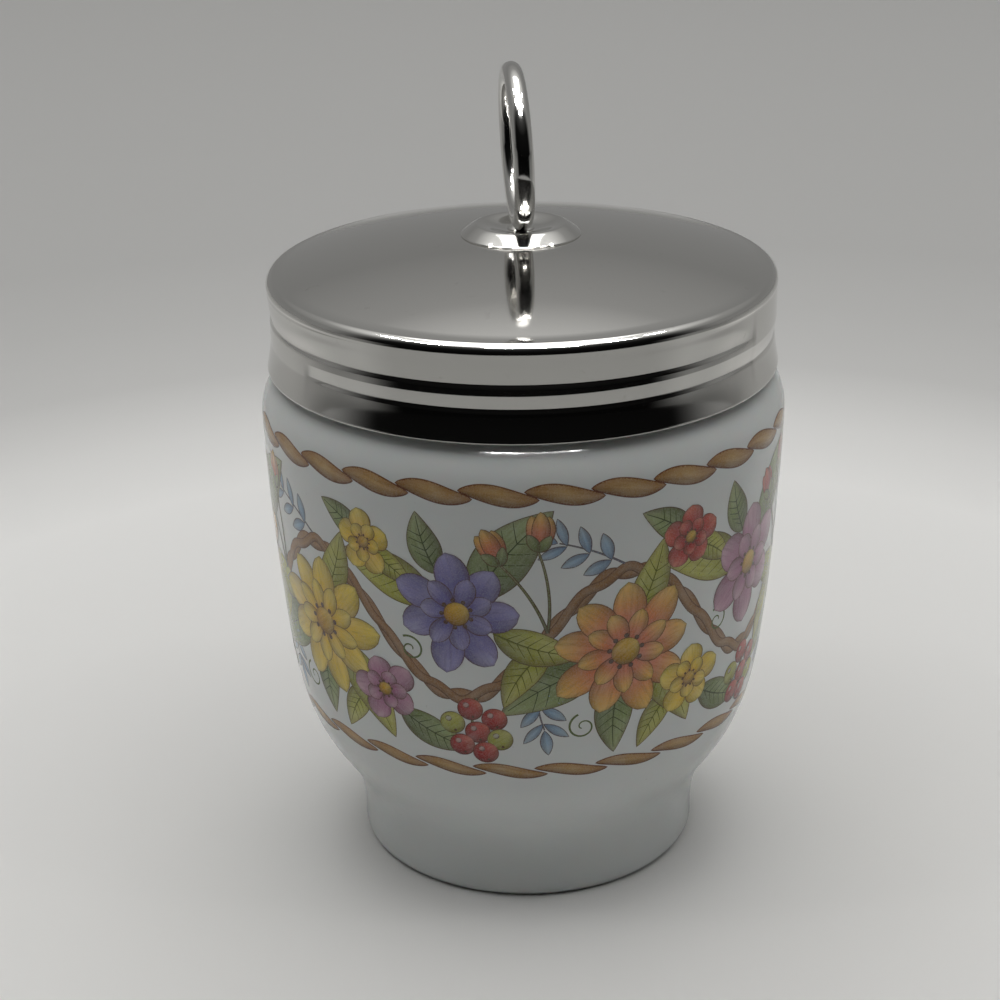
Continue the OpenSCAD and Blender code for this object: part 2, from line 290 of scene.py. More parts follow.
def print_material():
    """Fired litho print: ink from the mesh, brushed and broken into fine dots, thinly outlined."""
    material, n = new_material("fired_print")
    coords = n.coords()
    ink, line = n.attribute("ink"), n.attribute("line")
    inset, flow = n.attribute("inset", "Fac"), n.attribute("flow", "Vector")
    grain = n.noise(coords, DOT_SCALE, 2, 0.6)
    wash = n.noise(coords, WASH_SCALE, 3)
    brushed = n.add("Mapping", {"Vector": flow, "Scale": STREAK_STRETCH}).outputs[0]
    streak = n.noise(brushed, 1.0, 3, 0.6)
    pale = n.mix(PALE_SHARE, ink, PALE_INK)
    deep = n.mix(DEEP_SHARE, ink, line)
    toned = n.mix(n.spread(wash, *WASH_WINDOW), ink, pale)
    toned = n.mix(n.spread(streak, *STREAK_WINDOW), toned, deep)
    dotted = n.mix(n.spread(grain, *DOT_WINDOW), toned, pale)
    ragged = n.math("ADD", inset, n.spread(grain, *RAGGED_WINDOW))
    outline = n.spread(ragged, *OUTLINE_WINDOW, smoothed=True)
    colour = n.mix(n.spread(ragged, *EDGE_WINDOW, smoothed=True), dotted, line)
    colour = n.mix(n.math("MULTIPLY", outline, OUTLINE_SHARE), colour, line)
    finish_material(n, Base_Color=colour, Roughness=GLAZE_ROUGHNESS, IOR=GLASS_IOR,
                    Normal=glaze_bump(n, coords))
    return material


def chrome_material(name, scale_across, scale_up, haze):
    """Polished plate: faint rubbed haze, hairline wear and a few dull spots."""
    material, n = new_material(name)
    coords = n.coords()
    scale = (scale_across, scale_across, scale_up)
    stretched = n.add("Mapping", {"Vector": coords, "Scale": scale})
    hair = n.noise(stretched.outputs[0], 1.0, 4, 0.7)
    rubbed = n.spread(n.noise(coords, RUB_SCALE, 4), *RUB_WINDOW, haze, haze * RUB_GAIN)
    spots = n.spread(n.noise(coords, SPOT_SCALE, 2), *SPOT_WINDOW)
    roughness = n.math("ADD", rubbed, n.math("MULTIPLY", spots, SPOT_ROUGHNESS))
    colour = n.mix(n.math("MULTIPLY", spots, DULL_SHARE), CHROME, CHROME_DULL)
    finish_material(n, Base_Color=colour, Metallic=1.0, Roughness=roughness,
                    Normal=n.bump(hair, HAIR_DEPTH, HAIR_STRENGTH))
    return material


def steel_material():
    """Plain steel with a cloudy rolled surface."""
    material, n = new_material("plain_steel")
    coords = n.coords()
    cloud = n.noise(coords, STEEL_SCALE, 4)
    finish_material(n, Base_Color=n.mix(cloud, STEEL_DARK, STEEL_LIGHT), Metallic=1.0,
                    Roughness=n.spread(cloud, *STEEL_WINDOW),
                    Normal=n.bump(n.noise(coords, PIT_SCALE, 2), PIT_DEPTH, PIT_STRENGTH))
    return material


# ---- cup

SHOULDER_CENTRE = BODY_R - SHOULDER_R
SHOULDER_END = math.degrees(math.acos((NECK_R - SHOULDER_CENTRE) / SHOULDER_R))
NECK_Z = BODY_Z + SHOULDER_R * math.sin(math.radians(SHOULDER_END))
BORE_R = NECK_R - WALL
# How far the handles of the free curves reach, as shares of their rise
FOOT_PULL, BOWL_PULL, WALL_PULL, BODY_PULL = 0.5, 0.6, 0.25, 0.16
INNER_BOWL_FLAT, INNER_BOWL_PULL, INNER_NECK_PULL = 0.78, 0.56, 0.45
RECESS_RUN = (AXIS_GAP, 8.0, 16.0)  # radii of points across the flat of the recess
RECESS_EDGE = 0.25  # rounding of the foot ring's inner edge
CUP_COLUMNS = 360
CUP_ROWS = {"foot": 16, "bowl": 48, "wall": 40, "shoulder": 24, "inner bowl": 30, "inner wall": 14,
            "inner neck": 12, "recess": 14, "recess edge": 6, "neck": 36, "lip": 14}


def cup_outer_line():
    """The outside from the foot's edge up to the neck."""
    return joined(
        arc(FOOT_R - FOOT_ROUND, FOOT_ROUND, FOOT_ROUND, -90, 0, CUP_ROWS["foot"]),
        wall_curve((FOOT_R, FOOT_H), 0, FOOT_PULL, (KNEE_R, KNEE_Z), KNEE_LEAN, BOWL_PULL,
                   CUP_ROWS["bowl"]),
        wall_curve((KNEE_R, KNEE_Z), KNEE_LEAN, WALL_PULL, (BODY_R, BODY_Z), 0, BODY_PULL,
                   CUP_ROWS["wall"]),
        arc(SHOULDER_CENTRE, BODY_Z, SHOULDER_R, 0, SHOULDER_END, CUP_ROWS["shoulder"]))


def cup_inner_line():
    """The inside from the mouth down to the middle of the floor."""
    base = RECESS_H + FLOOR_T
    lean = math.radians(KNEE_LEAN)
    knee = np.array([KNEE_R - WALL * math.cos(lean), KNEE_Z + WALL * math.sin(lean)])
    top = np.array([BODY_R - WALL, BODY_Z - WALL / 2])
    mouth = np.array([BORE_R, NECK_Z + WALL / 2])
    bowl = cubic(np.array([AXIS_GAP, base]), np.array([knee[0] * INNER_BOWL_FLAT, base]),
                 knee - INNER_BOWL_PULL * (knee[1] - base) * leaning(KNEE_LEAN), knee,
                 CUP_ROWS["inner bowl"])
    wall = wall_curve(knee, KNEE_LEAN, WALL_PULL, top, 0, BODY_PULL, CUP_ROWS["inner wall"])
    neck = wall_curve(top, 0, INNER_NECK_PULL, mouth, 0, INNER_NECK_PULL, CUP_ROWS["inner neck"])
    return joined(bowl, wall, neck)[::-1]


def recess_line():
    """Under the base, from the axis out to the foot ring's inner edge."""
    foot_in = FOOT_R - FOOT_ROUND - FOOT_WIDTH
    corner = RECESS_H / 3
    draft = RECESS_H / 8
    return joined(np.array([[r, RECESS_H] for r in RECESS_RUN]),
                  arc(foot_in - draft - corner, RECESS_H - corner, corner, 90, 0, CUP_ROWS["recess"]),
                  arc(foot_in + RECESS_EDGE, RECESS_EDGE, RECESS_EDGE, 180, 270,
                      CUP_ROWS["recess edge"]))


def neck_thread(theta, z):
    """How far the moulded thread stands out of the neck there."""
    turns = np.arange(-1, 3)[:, None, None]
    line = THREAD_PITCH * ((theta + GROOVE_MIDDLE) / 360.0 + turns) + NECK_THREAD_Z
    near = np.abs(z[None] - line)
    height = NECK_THREAD_H * smooth(1 - near / (NECK_THREAD_W / 2))
    fade = (smooth((line - NECK_THREAD_LOW) / NECK_THREAD_FADE)
            * smooth((NECK_THREAD_HIGH - line) / NECK_THREAD_FADE))
    return (height * fade).max(axis=0)


def make_cup(material):
    """The porcelain, turned from one closed line, with the moulded thread raised on its neck."""
    lip = joined(arc(NECK_R - LIP_ROUND, LIP_Z - LIP_ROUND, LIP_ROUND, 0, 90, CUP_ROWS["lip"]),
                 arc(BORE_R + LIP_ROUND, LIP_Z - LIP_ROUND, LIP_ROUND, 90, 180, CUP_ROWS["lip"]))
    neck_z = np.linspace(NECK_Z, LIP_Z - LIP_ROUND, CUP_ROWS["neck"])
    neck = np.c_[np.full(len(neck_z), NECK_R), neck_z]
    line = joined(recess_line(), cup_outer_line(), neck, lip, cup_inner_line())
    theta = np.arange(CUP_COLUMNS) * 360.0 / CUP_COLUMNS
    radius, height = spun(line, CUP_COLUMNS)
    on_neck = (np.abs(line[:, 0] - NECK_R) < 0.01) & (line[:, 1] > NECK_Z)
    radius[on_neck] += neck_thread(theta[None, :], height[on_neck])
    cup = shell("cup_body", radius, height, "cup", material)
    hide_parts("porcelain_cup")


# ---- lid

THREAD_PITCH = 3.15
GROOVE_Z = 77.25  # the lower crease at the front
GROOVE_FIRST, GROOVE_LAST = -55.0, 420.0
GROOVE_MIDDLE = 8.0  # the crease runs level at this angle left of the front
GROOVE_END = 9.0  # degrees over which an end is rounded off
GROOVE_STEP = 0.55  # height of the step back out below the crease
DEPTH_LOW, DEPTH_TURN = 0.29, 0.17  # depth at the lower end, and what a turn adds
TAPER_LOW, TAPER_TURN = 1.75, 1.95  # height of the sloping side, in the same way
TAPER_WAVE = 0.055  # swell of the upper slope
RECESS_SHARE = 0.55  # how much of the depth stays below the step
BOTTOM_R, FLARE_Z, FLARE_BEND = 35.33, 77.0, 1.3
TUCK, TUCK_Z = 0.04, 83.9  # the side leaves the rim this much in
NECK_THREAD_Z, NECK_THREAD_LOW, NECK_THREAD_HIGH = 78.9, 78.2, 83.0
NECK_THREAD_FADE = 0.4  # height over which the moulded thread's ends fade
SLOPE_WAVE_START, SLOPE_END = 0.27, 1.05  # both in heights of the sloping side
STEP_CURVE = 0.35  # how much quicker than evenly the step starts
RIM_TUCK = 12.0  # degrees that the rim's roll goes on below its widest circle
DOME_GAP, INNER_RIM_GAP, OUTER_RIM_GAP = 0.6, 0.3, 0.35  # spaces left for the rim's rounding
LID_COLUMNS = 480
LID_ROWS = {"inner dome": 12, "inner rim": 6, "inner side": 24, "side": 112, "rim": 22, "dome": 22,
            "edge": 5}

DOME_R = ((RIM_R - RIM_ROUND) ** 2 + DOME_H ** 2 - RIM_ROUND ** 2) / (2 * (DOME_H - RIM_ROUND))
CROWN_Z = RIM_Z + DOME_H
DOME_END = math.degrees(math.asin((RIM_R - RIM_ROUND) / (DOME_R - RIM_ROUND)))


def dome_z(r, inset=0.0):
    """Height of the dome, or of a surface that far inside it, at a radius."""
    return CROWN_Z - DOME_R + np.sqrt((DOME_R - inset) ** 2 - np.square(r))


def crease_z(angle):
    """Height of the rolled crease at an unwrapped angle: a screw line that is level in front."""
    turn = (angle + GROOVE_MIDDLE) / 360.0
    return GROOVE_Z + THREAD_PITCH * (turn - np.sin(2 * math.pi * turn) / (2 * math.pi))


def groove(theta, z):
    """Depth of the rolled groove: a long slope down to the crease, then a quick step out."""
    depth = np.zeros(np.broadcast(theta, z).shape)
    for turn in range(-1, 3):
        angle = theta + 360.0 * turn
        share = np.clip(angle / 360.0, 0, 1)
        above = z - crease_z(angle)
        u = above / (TAPER_LOW + TAPER_TURN * share)
        slope = np.clip(1 - u - TAPER_WAVE * share * np.sin(2 * math.pi * (u - SLOPE_WAVE_START)),
                        0, None)
        slope = np.where(u < SLOPE_END, slope, 0)
        below = np.clip(-above / GROOVE_STEP, 0, 1)
        step = 1 - (1 - RECESS_SHARE) * below * (1 + STEP_CURVE - STEP_CURVE * below)
        ends = np.minimum(angle - GROOVE_FIRST, GROOVE_LAST - angle) / GROOVE_END
        full = np.sqrt(np.clip(ends, 0, 1))
        depth += (DEPTH_LOW + DEPTH_TURN * share) * np.where(above > 0, slope, step) * full
    return depth


def side_radius(theta, z):
    """Radius of the lid's side, from the rim's underside down to the flared edge."""
    wall = SIDE_R + TUCK * smooth((z - TUCK_Z) / (RIM_Z - TUCK_Z)) - groove(theta, z)
    share = np.clip((FLARE_Z - z) / (FLARE_Z - SIDE_BOTTOM_Z - SHEET / 2), 0, 1) ** FLARE_BEND
    return wall + (BOTTOM_R - wall) * share


def lid_edge():
    """The flared bottom edge, with small corners."""
    corner = SHEET / 5
    edge_z = SIDE_BOTTOM_Z + corner
    return joined(arc(BOTTOM_R - SHEET + corner, edge_z, corner, -175, -90, LID_ROWS["edge"]),
                  arc(BOTTOM_R - corner, edge_z, corner, -90, -5, LID_ROWS["edge"]))


def make_lid(material):
    """The pressed lid: up its inside, round the bottom edge and back over its outside."""
    theta = np.arange(LID_COLUMNS)[None, :] * 360.0 / LID_COLUMNS
    theta = (theta + 180.0) % 360.0 - 180.0
    dome_in = np.linspace(DOME_AXIS_GAP, RIM_R - RIM_ROUND - DOME_GAP, LID_ROWS["inner dome"])
    inner_rim = arc(RIM_R - RIM_ROUND, RIM_Z, RIM_ROUND - SHEET, 90 - DOME_END, 0, LID_ROWS["inner rim"])
    inner_z = np.linspace(RIM_Z - INNER_RIM_GAP, SIDE_BOTTOM_Z + SHEET / 2, LID_ROWS["inner side"])
    outer_z = np.linspace(SIDE_BOTTOM_Z + SHEET / 2, RIM_Z - OUTER_RIM_GAP, LID_ROWS["side"])
    outer_rim = arc(RIM_R - RIM_ROUND, RIM_Z, RIM_ROUND, -RIM_TUCK, 90 - DOME_END, LID_ROWS["rim"])
    dome_out = np.linspace(RIM_R - RIM_ROUND, DOME_AXIS_GAP, LID_ROWS["dome"])
    dome_out *= DOME_R / (DOME_R - RIM_ROUND)

    def side(z, inset):
        z = np.repeat(z[:, None], LID_COLUMNS, axis=1)
        return side_radius(theta, z) - inset, z

    parts = [spun(np.c_[dome_in, dome_z(dome_in, SHEET)], LID_COLUMNS), spun(inner_rim, LID_COLUMNS),
             side(inner_z, SHEET), spun(lid_edge(), LID_COLUMNS), side(outer_z, 0.0),
             spun(outer_rim, LID_COLUMNS), spun(np.c_[dome_out, dome_z(dome_out)], LID_COLUMNS)]
    radius, height = (np.vstack(runs) for runs in zip(*parts))
    lid = shell("lid_plate", radius, height, "lid", material)
    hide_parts("lid_shell")


# ---- rosette and ring

ROSETTE_EDGE_Z = float(dome_z(ROSETTE_R))
ROSETTE_MID_Z = CROWN_Z + ROSETTE_T
ROSETTE_LIP = 0.15  # height of the rosette's edge over the dome
ROSETTE_BED = 0.01  # its underside stays this much over the dome
HOLE_GAP = 0.1  # clearance round the shank, and under the riveted shank's top
ROSETTE_COLUMNS, ROSETTE_ROWS = 192, 24
COLLAR_R, COLLAR_DRAW, COLLAR_BEND, COLLAR_H = 1.35, 0.75, 0.6, 1.05  # in radii of the wire
COLLAR_ROWS = 16
RIVET_H, RIVET_ROUND, RIVET_FACE_R, RIVET_R = 0.88, 0.5, 0.9, 2.1
RING_AROUND, RING_ACROSS, SHANK_COLUMNS = 160, 40, 64


def make_rosette(material):
    """A pressed plate: dished middle, ring-shaped crest, edge lying on the dome."""
    crest_z = ROSETTE_EDGE_Z + ROSETTE_RISE
    t = np.linspace(0, 1, ROSETTE_ROWS)
    bowl = np.c_[DISH_R + (CREST_R - DISH_R) * t, ROSETTE_MID_Z + (crest_z - ROSETTE_MID_Z) * smooth(t)]
    low = ROSETTE_EDGE_Z + ROSETTE_LIP
    slope = np.c_[CREST_R + (ROSETTE_R - CREST_R) * t, low + (crest_z - low) * (1 - t ** SLOPE_BEND)]
    top = joined(np.array([[SHANK_R + HOLE_GAP, ROSETTE_MID_Z]]), bowl, slope,
                 np.array([[ROSETTE_R, ROSETTE_EDGE_Z]]))
    inner = top[::-1][3:]
    under = np.c_[inner[:, 0], np.maximum(inner[:, 1] - ROSETTE_T, dome_z(inner[:, 0]) + ROSETTE_BED)]
    loop = joined(under[::-1], top[::-1])
    loop = np.vstack([loop[:1], loop])
    rosette = make_object("rosette_plate", round_points(*spun(loop, ROSETTE_COLUMNS)),
                          grid_faces(len(loop), ROSETTE_COLUMNS), "lid", material)
    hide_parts("ring_rosette")


def torus(centre_r, wire_r, around, across):
    """Points and faces of a ring of wire standing in the YZ plane."""
    u = np.arange(around)[:, None] * 2 * math.pi / around
    v = np.arange(across)[None, :] * 2 * math.pi / across
    out = centre_r + wire_r * np.cos(v)
    points = np.stack([wire_r * np.sin(v) + 0 * u, out * np.sin(u), -out * np.cos(u)], -1)
    points = np.concatenate([points, points[:1]])
    return points.reshape(-1, 3), grid_faces(around + 1, across)


def revolved_part(line):
    """Points and faces of a turned part with flat ends."""
    return round_points(*spun(line, SHANK_COLUMNS)), capped_faces(len(line), SHANK_COLUMNS)


def make_ring(material):
    """The wire ring, its brazed collar and the shank with the riveted end."""
    wire, wire_faces = torus(RING_R, WIRE_R, RING_AROUND, RING_ACROSS)
    lean = Matrix.Rotation(math.radians(-RING_LEAN), 3, "Y")
    turn = Matrix.Rotation(math.radians(RING_TURN), 3, "Z")
    wire = (wire + [0, 0, RING_R + WIRE_R - RING_DROP]) @ np.array(turn @ lean).T + [0, 0, ROSETTE_MID_Z]
    t = np.linspace(0, 1, COLLAR_ROWS)
    collar = np.c_[WIRE_R * (COLLAR_R - COLLAR_DRAW * smooth(t) ** COLLAR_BEND),
                   ROSETTE_MID_Z + WIRE_R * t * COLLAR_H]
    low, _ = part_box("lifting_ring")
    rivet_low = low.z / MM
    rivet_top = rivet_low + RIVET_H
    rivet = joined(arc(RIVET_FACE_R, rivet_low + RIVET_ROUND, RIVET_ROUND, -90, -30, 5),
                   np.array([[RIVET_R, rivet_top], [SHANK_R, rivet_top],
                             [SHANK_R, ROSETTE_MID_Z + HOLE_GAP]]))
    points, faces = [], []
    for part, part_faces in ((wire, wire_faces), revolved_part(collar), revolved_part(rivet)):
        first = sum(len(p) for p in points)
        points.append(part)
        faces += [[i + first for i in face] for face in part_faces]
    ring = make_object("ring_wire", np.vstack(points), faces, "lid", material)
    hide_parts("lifting_ring")


# ---- print on the cup

cup_line = cup_outer_line()
line_length = np.r_[0, np.cumsum(np.hypot(*np.diff(cup_line, axis=0).T))]
NORMAL_STEP = 0.3  # distance along the line over which its slope is taken


def length_at(z):
    """Distance along the cup's outer line, from its start, at a height."""
    return float(np.interp(z, cup_line[:, 1], line_length))


def wall_at(length):
    """Radius and height of the cup's outer line at a distance along it."""
    return (np.interp(length, line_length, cup_line[:, k]) for k in (0, 1))


def radius_at(z):
    """Radius of the cup's outside at a height."""
    return float(next(wall_at(length_at(z))))


def on_cup(angle, length, lift):
    """Points and normals on the glaze at an angle from the front and a distance up the wall."""
    r, z = wall_at(length)
    dr, dz = (b - a for a, b in zip((r, z), wall_at(length + NORMAL_STEP)))
    span = np.hypot(dr, dz)
    out, up = dz / span, -dr / span
    a = np.radians(angle)
    normal = np.stack([out * np.sin(a), -out * np.cos(a), up], -1)
    points = np.stack([r * np.sin(a), -r * np.cos(a), z], -1) + normal * lift[..., None]
    return points, normal


PRINT_LIFT, LAYER_LIFT = 0.010, 0.0015  # height over the glaze, and of a layer over the last
PRINT_DATA = (("ink", "FLOAT_COLOR", "color"), ("line", "FLOAT_COLOR", "color"),
              ("inset", "FLOAT", "value"), ("flow", "FLOAT_VECTOR", "vector"))
FLOW_STEP = 3.7  # moves the brushed grain from blade to blade
SHADE_START, LIT_SHARE = -0.2, 0.35  # start of the shade across a blade; share lit on the left


class Print:
    """Collects drawn blades and makes one thin fired-on piece of them."""

    def __init__(self, fineness=1.0):
        self.fineness = fineness  # below 1 the outlines are drawn broader
        self.faces, self.count = [], 0
        self.parts = {key: [] for key in ("points", "normals", "ink", "line", "inset", "flow")}

    def blade(self, angle, height, spine, half, inks, line, layer, shade, across=9):
        """A blade about a spine of (right, up) points in mm from a place on the cup.

        half holds the half widths along it, inks two or three colours from root to tip.
        """
        spine, half = np.asarray(spine, float), np.asarray(half, float)
        along = np.gradient(spine, axis=0)
        along /= np.maximum(np.hypot(along[:, 0], along[:, 1]), 1e-9)[:, None]
        side = np.c_[along[:, 1], -along[:, 0]]
        w = np.linspace(-1, 1, across)
        flat = spine[:, None, :] + side[:, None, :] * (half[:, None] * w[None, :])[..., None]
        lengths = length_at(height) + flat[..., 1]
        angles = angle + np.degrees(flat[..., 0] / radius_at(height))
        lift = np.full(lengths.shape, PRINT_LIFT + LAYER_LIFT * layer)
        points, normals = on_cup(angles, lengths, lift)
        rows = len(spine)
        t = np.linspace(0, 1, rows)
        stops = np.linspace(0, 1, len(inks))
        colour = np.stack([np.interp(t, stops, [c[k] for c in inks]) for k in range(3)], -1)
        tone = (1 - shade * smooth((w - SHADE_START) / (1 - SHADE_START))
                + shade * LIT_SHARE * smooth(-w))
        colour = np.clip(colour[:, None, :] * tone[None, :, None], 0, 1)
        self.faces += grid_faces(rows, across, self.count, wrap=False)
        self.count += rows * across
        travel = np.r_[0, np.cumsum(np.hypot(*np.diff(spine, axis=0).T))]
        offset = half[:, None] * w[None, :]
        grain = np.full(offset.shape, FLOW_STEP * len(self.parts["flow"]))
        drawn = {"points": points, "normals": normals, "ink": colour,
                 "line": np.tile(line, (rows * across, 1)),
                 "inset": self.fineness * half[:, None] * (1 - np.abs(w))[None, :],
                 "flow": np.stack([offset, np.repeat(travel[:, None], across, 1), grain], -1)}
        for key, values in drawn.items():
            self.parts[key].append(values.reshape(rows * across, -1))

    def make(self, name, material):
        """The blades as one piece, all facing outwards, with the attributes its material reads."""
        parts = {key: np.vstack(values) for key, values in self.parts.items()}
        points, normals = parts["points"], parts["normals"]
        a, b, c, d = (points[[f[i] for f in self.faces]] for i in range(4))
        facing = np.einsum("ij,ij->i", np.cross(c - a, d - b), normals[[f[0] for f in self.faces]])
        faces = [f if ok > 0 else f[::-1] for f, ok in zip(self.faces, facing)]
        piece = make_object(name, points, faces, "cup", material, normals)
        for key in ("ink", "line"):
            parts[key] = np.c_[parts[key], np.ones(len(points))]
        for key, kind, field in PRINT_DATA:
            layer = piece.data.attributes.new(key, kind, "POINT")
            layer.data.foreach_set(field, parts[key].astype(np.float32).ravel())


def lens(length, width, tilt, count, sharp):
    """Spine and half widths of a pointed oval, turned by tilt degrees."""
    t = np.linspace(0, 1, count)
    spine = np.c_[(t - 0.5) * length, np.zeros(count)]
    half = width / 2 * np.sin(math.pi * t) ** sharp
    return turned(spine, tilt), half


def turned(points, degrees):
    """Flat points turned anticlockwise about the start."""
    c, s = math.cos(math.radians(degrees)), math.sin(math.radians(degrees))
    return np.asarray(points) @ np.array([[c, s], [-s, c]])


# name, z, links, first, link's height
ROPES = (("rope_upper", 66.5, 27, 0.8, 2.7), ("rope_lower", 25.3, 25, 2.4, 2.1))
ROPE_INK = ((0.44, 0.24, 0.08), (0.56, 0.35, 0.13), (0.42, 0.22, 0.07))
ROPE_LINE = (0.12, 0.03, 0.02)
ROPE_FINENESS, ROPE_SHADE = 0.7, 0.45
LINK_OVERLAP, LINK_TILT, LINK_SHARP, LINK_WAVE, LINK_ROWS = 1.24, -6.0, 0.66, 0.22, 29


def make_rope(name, height, links, first, link_height, material):
    """A border of slanting rope links; every second one lies over its neighbours."""
    rope = Print(ROPE_FINENESS)
    period = 2 * math.pi * radius_at(height) / links
    wave = LINK_WAVE * np.sin(np.linspace(-math.pi, math.pi, LINK_ROWS))
    for i in range(links):
        middle = first + (i + 0.5) * 360.0 / links
        spine, half = lens(period * LINK_OVERLAP, link_height, LINK_TILT, LINK_ROWS, LINK_SHARP)
        spine[:, 1] -= wave
        rope.blade(middle, height, spine, half, ROPE_INK, ROPE_LINE, 2 * (i % 2), ROPE_SHADE)
    rope.make(name, material)


INK_LINE = (0.11, 0.055, 0.035)
LEAF_GREEN = ((0.12, 0.16, 0.05), (0.24, 0.31, 0.11), (0.38, 0.43, 0.20))
LEAF_LIME = ((0.26, 0.28, 0.03), (0.46, 0.46, 0.07), (0.54, 0.52, 0.16))
LEAF_BLUE = ((0.20, 0.34, 0.52), (0.33, 0.49, 0.66), (0.50, 0.63, 0.72))
YELLOW = ((0.52, 0.17, 0.02), (0.80, 0.54, 0.05), (0.84, 0.67, 0.12))
PEACH = ((0.46, 0.06, 0.05), (0.70, 0.22, 0.09), (0.84, 0.55, 0.12))
PLUM = ((0.07, 0.05, 0.18), (0.17, 0.15, 0.40), (0.36, 0.34, 0.60))
MAUVE = ((0.20, 0.04, 0.12), (0.42, 0.17, 0.29), (0.60, 0.38, 0.47))
RED = ((0.16, 0.005, 0.008), (0.46, 0.03, 0.025), (0.70, 0.20, 0.13))
WOOD = ((0.34, 0.17, 0.06), (0.46, 0.27, 0.11), (0.36, 0.18, 0.07))
HEART = ((0.30, 0.12, 0.02), (0.66, 0.38, 0.03), (0.76, 0.54, 0.10))
PETAL_SHAPE, BUD_SHAPE, SEPAL_SHAPE = 1.5, 1.1, 0.9  # above 1 a petal is broadest near its end
PETAL_CURL, PETAL_FULL, PETAL_ROOT, PETAL_ROWS = 0.04, 0.6, 0.10, 15
TILT_SWAY, SIZE_SWAY, PETAL_WIDTH = 5, 0.07, 1.7  # degrees, share, and petals' widths round a ring
DOTS, DOT_SIZE, DOT_RING = 9, 0.035, 0.115  # round a blossom's heart, as shares of its size
INNER_RING, HEART_SIZE = 0.62, 0.20  # shares of a blossom's size
MIDRIB, VEIN = (0.13, 0.05), (0.075, 0.0375)  # half widths at the root and at the tip
LEAF_ROWS, VEIN_ROWS = 27, range(4, 17, 3)
VEIN_REACH, VEIN_RISE = 0.74, 0.13  # of the leaf's half width there, and of its length
VEIN_SAG = np.array([0, 0.1, 0.12, 0.08, 0]) * 0.035
SMALL_BALL, BALL_TURN = 1.2, 35  # size below which a ball has fewer rows; its spine's turn
# tilt, share of the bud's size
BUD_PETALS = ((-13.2, 0.92), (13.2, 0.92), (0, 1.0))
BUD_WIDTH, SEPAL_TILTS, SEPAL_SIZE = 0.44, (-34, 34), (0.5, 0.28)
STEM_ROWS, SPRIG_LEAF, SPRIG_SPREAD, SPRIG_PAIRS = 26, 4.2, 48, 3
TENDRIL_ROWS, TENDRIL_TURNS, TENDRIL_WIND, TENDRIL_HALF = 60, 1.35, 0.85, (0.16, 0.08)


def petal(length, width, tilt, tip):
    """Spine and half widths of a petal that starts at the place itself and widens outwards."""
    t = np.linspace(0, 1, PETAL_ROWS)
    spine = np.c_[PETAL_CURL * length * np.sin(math.pi * t), t * length]
    half = width / 2 * np.sin(math.pi * t ** tip) ** PETAL_FULL
    half[0] = PETAL_ROOT * width
    return turned(spine, -tilt), half


def blossom(art, x, z, size, inks, petals, turn, broad, layer):
    """Two rings of petals round a dotted heart; broad petals overlap their neighbours."""
    for ring, share in ((0, 1.0), (1, INNER_RING)):
        for i in range(petals):
            tilt = turn + (i + 0.5 * ring) * 360.0 / petals + TILT_SWAY * math.sin(3.1 * i + turn)
            reach = size / 2 * share * (1 + SIZE_SWAY * math.sin(2.3 * i + turn))
            width = broad * size * share * PETAL_WIDTH / petals
            spine, half = petal(reach, width, tilt, PETAL_SHAPE)
            art.blade(place(x), z, spine, half, inks, INK_LINE, layer + 3 * ring + i % 3, shade=0.28)
    ball(art, x, z, size * HEART_SIZE, HEART, layer + 6)
    for i in range(DOTS):
        dot = turned(np.array([[0.0, size * DOT_RING]]), turn + 360.0 / DOTS * i)[0]
        ball(art, x + dot[0], z + dot[1], size * DOT_SIZE, (INK_LINE,) * 3, layer + 7)


def ball(art, x, z, size, inks, layer):
    """A round berry or flower heart, darker below."""
    rows = 19 if size > SMALL_BALL else 9
    t = (1 - np.cos(np.linspace(0, math.pi, rows))) / 2
    spine = turned(np.c_[(t - 0.5) * size, np.zeros(rows)], BALL_TURN)
    half = size / 2 * np.sqrt(np.clip(1 - (2 * t - 1) ** 2, 0, 1))
    art.blade(place(x), z, spine, half, inks, INK_LINE, layer, shade=0.4, across=rows // 2)


def berry(art, x, z, size, inks, layer):
    """A berry with its lit spot and the dark eye at its lower end."""
    ball(art, x, z, size, inks, layer)
    glow = tuple(0.45 * c + 0.42 for c in inks[2])
    ball(art, x - 0.16 * size, z + 0.17 * size, size * 0.26, (inks[2], glow, glow), layer + 1)
    ball(art, x + 0.10 * size, z - 0.33 * size, size * 0.11, (INK_LINE,) * 3, layer + 1)


def leaf(art, x, z, length, width, tilt, inks, layer, bend):
    """A pointed leaf with its midrib and side veins, starting at the place itself."""
    t = np.linspace(0, 1, LEAF_ROWS)
    spine = np.c_[bend * length * np.sin(math.pi * t), t * length]
    half = width / 2 * np.sin(math.pi * t ** 0.8) ** 0.85
    art.blade(place(x), z, turned(spine, -tilt), half, inks, INK_LINE, layer, shade=0.36)
    vein = tuple(0.5 * c for c in inks[0])
    runs = [(spine[:-2], MIDRIB)]
    for k in VEIN_ROWS:
        for side in (-1, 1):
            tip = spine[k] + np.array([side * half[k] * VEIN_REACH, length * VEIN_RISE])
            run = np.linspace(spine[k], tip, len(VEIN_SAG))
            runs.append((run - np.outer(VEIN_SAG, [0, length]), VEIN))
    for run, (root, tip) in runs:
        art.blade(place(x), z, turned(run, -tilt), np.linspace(root, tip, len(run)), (vein,) * 2,
                  vein, layer + 1, shade=0.0, across=3)


